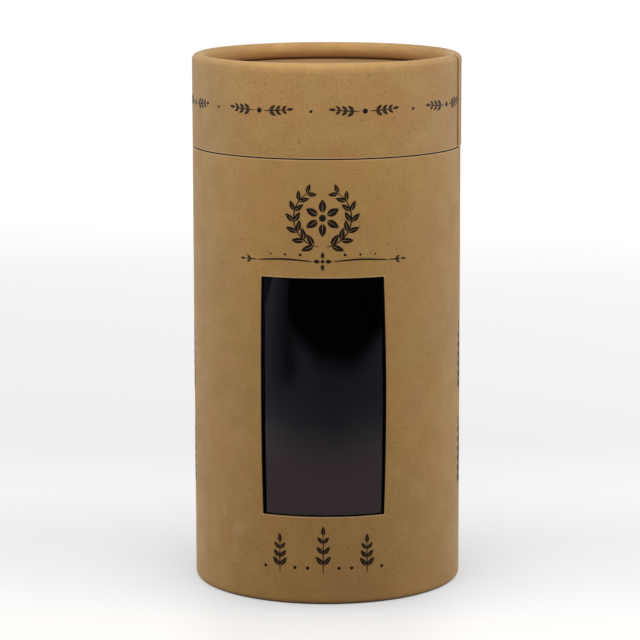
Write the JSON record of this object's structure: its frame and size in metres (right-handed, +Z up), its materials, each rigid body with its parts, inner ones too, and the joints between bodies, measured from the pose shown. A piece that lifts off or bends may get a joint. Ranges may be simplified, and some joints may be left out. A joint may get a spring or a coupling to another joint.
{
  "type": "cylindrical gift tube box",
  "caption": "Kraft paper gift tube box with a lift-off lid, a rolled rim, a neck tube inside and a rectangular film window in its wall.",
  "frame": {"origin": "centre of the base, on the surface that the box stands on", "axes": "+Z up along the tube's axis, towards the lid; the window faces -Y"},
  "size_m": [0.0802, 0.0802, 0.1589],
  "materials": {
    "kraft": "golden brown kraft paper with fine fibres and specks, matte with a slight sheen",
    "black_board": "solid wound board, dyed black through, so that its cut edges are black",
    "black_paper": "smooth black lining paper",
    "clear_film": "clear glossy window film",
    "clear_tape": "thin double-sided adhesive strip"
  },
  "bodies": {
    "box": {"body_kraft_wrap": "kraft", "base_kraft_facing": "kraft", "body_board_tube": "black_board", "neck_board_tube": "black_board", "base_board_disc": "black_board", "neck_outer_paper": "black_paper", "neck_lining_paper": "black_paper", "base_lining_disc": "black_paper", "window_film": "clear_film", "window_tape_top": "clear_tape", "window_tape_bottom": "clear_tape", "window_tape_left": "clear_tape", "window_tape_right": "clear_tape"},
    "lid": {"lid_kraft_wrap": "kraft", "lid_board_tube": "black_board", "lid_lining_paper": "black_paper", "lid_top_kraft_facing": "kraft", "lid_top_board_disc": "black_board", "lid_top_lining_disc": "black_paper"}
  },
  "joints": [
    {"name": "lid_lift", "type": "slide", "parent": "box", "child": "lid", "axis": [0, 0, 1], "range_m": [0, 0.16]}
  ]
}
